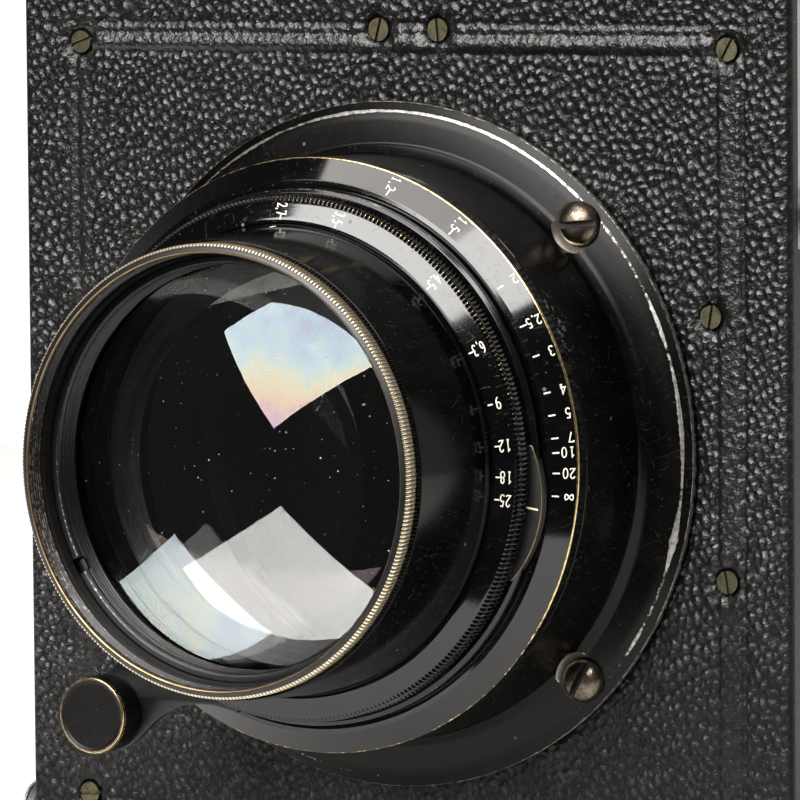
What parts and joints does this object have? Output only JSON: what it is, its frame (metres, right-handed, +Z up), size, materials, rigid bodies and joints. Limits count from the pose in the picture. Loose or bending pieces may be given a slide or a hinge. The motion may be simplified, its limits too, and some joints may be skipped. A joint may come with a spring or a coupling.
{
  "type": "folding reflex camera",
  "caption": "Folding reflex plate camera with crossed struts, fast lens in a helical mount, swinging mirror, focusing hood and roller blind shutter.",
  "frame": {"origin": "mouth of the tripod bush in the underside of the shutter body, on its centre line", "axes": "+X to the right seen from the front, -Y the way the lens looks, +Z up"},
  "size_m": [0.1312, 0.1589, 0.1695],
  "materials": {
    "black_wood": "black stained mahogany",
    "black_leather": "black pebbled leather",
    "bellows_leather": "thin black bellows leather",
    "strap_leather": "dark strap leather",
    "brass": "aged brass",
    "worn_brass": "blackened brass, worn bright on the milled edge",
    "nickel": "dull nickel plate",
    "dark_steel": "blued steel",
    "black_lacquer": "glossy black lacquer on brass",
    "black_metal": "black paint on sheet metal",
    "hood_metal": "leather covered aluminium leaf",
    "holder_metal": "black paint on sheet metal",
    "dial_metal": "engraved plate",
    "lens_glass": "polished glass",
    "ground_glass": "ground on the lower side",
    "mirror_silver": "silvered glass",
    "curtain_cloth": "rubberised silk",
    "roller_wood": "turned wood"
  },
  "bodies": {
    "body": {"body_shell": "black_metal", "body_leather": "black_leather", "rear_bellows_frame": "black_metal", "bellows": "bellows_leather", "body_slot_guides": "nickel", "body_strut_pivots": "dark_steel", "top_rails": "nickel", "tripod_bush": "brass", "shutter_gate": "black_metal", "shutter_curtain": "curtain_cloth", "shaft_bushes": "brass", "speed_dial": "dial_metal", "mirror_pin": "dark_steel", "plate_back": "black_metal", "carry_strap": "strap_leather"},
    "front_standard": {"front_board": "black_wood", "front_leather": "black_leather", "board_screws": "brass", "lens_flange": "black_lacquer", "flange_screws": "brass", "distance_ring": "black_lacquer", "lens_lock_ring": "black_metal", "board_slot_guides": "nickel", "board_strut_pivots": "dark_steel", "front_bellows_frame": "black_metal", "screen_frame": "black_lacquer", "ground_glass": "ground_glass", "screen_retainer": "black_metal", "hood_hinge_lugs": "nickel"},
    "focus_unit": {"focus_ring": "black_lacquer", "focus_knob": "black_lacquer"},
    "lens_unit": {"lens_barrel": "black_lacquer", "front_rim": "worn_brass", "front_retaining_ring": "black_metal", "front_element": "lens_glass", "second_element": "lens_glass", "iris_blades": "black_metal", "third_element": "lens_glass", "rear_element": "lens_glass", "rear_cell": "black_metal"},
    "aperture_unit": {"aperture_ring": "black_lacquer"},
    "hood_left_leaf": {"hood_left": "hood_metal"},
    "hood_right_leaf": {"hood_right": "hood_metal"},
    "hood_front_leaf": {"hood_front": "hood_metal"},
    "hood_rear_leaf": {"hood_rear": "hood_metal"},
    "upper_roller_unit": {"upper_roller": "roller_wood", "roller_pinion": "brass"},
    "lower_roller_unit": {"lower_roller": "roller_wood"},
    "winding_unit": {"winding_gear": "brass", "winding_knob": "black_lacquer"},
    "tension_unit": {"tension_knob": "black_lacquer"},
    "release_unit": {"release_button": "nickel"},
    "carrier_unit": {"mirror_carrier": "black_metal"},
    "mirror_unit": {"mirror_frame": "black_metal", "mirror_glass": "mirror_silver"},
    "rear_strut_pair": {"rear_struts": "dark_steel", "strut_rivets": "nickel"},
    "front_strut_pair": {"front_struts": "dark_steel"},
    "holder_unit": {"plate_holder": "holder_metal"},
    "slide_unit": {"dark_slide": "holder_metal"}
  },
  "joints": [
    {"name": "fold", "type": "slide", "parent": "body", "child": "front_standard", "axis": [0, -1, 0], "range_m": [-0.044, 0], "deforming": ["bellows"]},
    {"name": "rear_strut_turn", "type": "hinge", "parent": "body", "child": "rear_strut_pair", "pos_m": [0, -0.007, 0.005], "axis": [1, 0, 0], "range_deg": [-27.54, 0]},
    {"name": "front_strut_turn", "type": "hinge", "parent": "front_standard", "child": "front_strut_pair", "pos_m": [0, -0.075, 0.005], "axis": [-1, 0, 0], "range_deg": [-27.54, 0]},
    {"name": "focus_turn", "type": "hinge", "parent": "front_standard", "child": "focus_unit", "pos_m": [0, -0.1, 0.055], "axis": [0, -1, 0], "range_deg": [0, 77.1]},
    {"name": "lens_slide", "type": "slide", "parent": "front_standard", "child": "lens_unit", "axis": [0, -1, 0], "range_m": [0, 0.01334]},
    {"name": "aperture_turn", "type": "hinge", "parent": "lens_unit", "child": "aperture_unit", "pos_m": [0, -0.105, 0.055], "axis": [0, -1, 0], "range_deg": [0, 97.7]},
    {"name": "hood_left_fold", "type": "hinge", "parent": "front_standard", "child": "hood_left_leaf", "pos_m": [-0.0485, -0.0375, 0.1215], "axis": [0, -1, 0], "range_deg": [-90, 0]},
    {"name": "hood_right_fold", "type": "hinge", "parent": "front_standard", "child": "hood_right_leaf", "pos_m": [0.0485, -0.0375, 0.1215], "axis": [0, 1, 0], "range_deg": [-90, 0]},
    {"name": "hood_front_fold", "type": "hinge", "parent": "front_standard", "child": "hood_front_leaf", "pos_m": [0, -0.072, 0.1249], "axis": [1, 0, 0], "range_deg": [-90, 0]},
    {"name": "hood_rear_fold", "type": "hinge", "parent": "front_standard", "child": "hood_rear_leaf", "pos_m": [0, -0.003, 0.1232], "axis": [-1, 0, 0], "range_deg": [-90, 0]},
    {"name": "winding_turn", "type": "hinge", "parent": "body", "child": "winding_unit", "pos_m": [0.056, 0.015, 0.08695], "axis": [1, 0, 0], "range_deg": [0, 350]},
    {"name": "upper_roller_turn", "type": "hinge", "parent": "body", "child": "upper_roller_unit", "pos_m": [0, 0.015, 0.1015], "axis": [1, 0, 0], "range_deg": [-701, 0]},
    {"name": "lower_roller_turn", "type": "hinge", "parent": "body", "child": "lower_roller_unit", "pos_m": [0, 0.0157, 0.0105], "axis": [1, 0, 0], "range_deg": [-794, 0]},
    {"name": "tension_turn", "type": "hinge", "parent": "body", "child": "tension_unit", "pos_m": [0.055, 0.0157, 0.027], "axis": [1, 0, 0], "range_deg": [0, 330]},
    {"name": "release_press", "type": "slide", "parent": "body", "child": "release_unit", "axis": [-1, 0, 0], "range_m": [0, 0.003], "stiffness_N_per_m": 300, "springref_m": -0.002},
    {"name": "carrier_turn", "type": "hinge", "parent": "body", "child": "carrier_unit", "pos_m": [0, 0.0075, 0.094], "axis": [-1, 0, 0], "range_deg": [-45.1, 0]},
    {"name": "mirror_flip", "type": "hinge", "parent": "carrier_unit", "child": "mirror_unit", "pos_m": [0, 0.0075, 0.094], "axis": [-1, 0, 0], "range_deg": [0, 45]},
    {"name": "holder_slide", "type": "slide", "parent": "body", "child": "holder_unit", "axis": [1, 0, 0], "range_m": [0, 0.1]},
    {"name": "dark_slide_pull", "type": "slide", "parent": "holder_unit", "child": "slide_unit", "axis": [1, 0, 0], "range_m": [0, 0.095]}
  ],
  "couplings": [
    {"joint": "rear_strut_turn", "follows": "fold", "rad_per_m": 10.904},
    {"joint": "front_strut_turn", "follows": "fold", "rad_per_m": 10.904},
    {"joint": "carrier_turn", "follows": "fold", "rad_per_m": 17.85},
    {"joint": "focus_turn", "follows": "lens_slide", "rad_per_m": 100.85},
    {"joint": "upper_roller_turn", "follows": "winding_turn", "ratio": -2},
    {"joint": "lower_roller_turn", "follows": "winding_turn", "ratio": -2.2641}
  ]
}
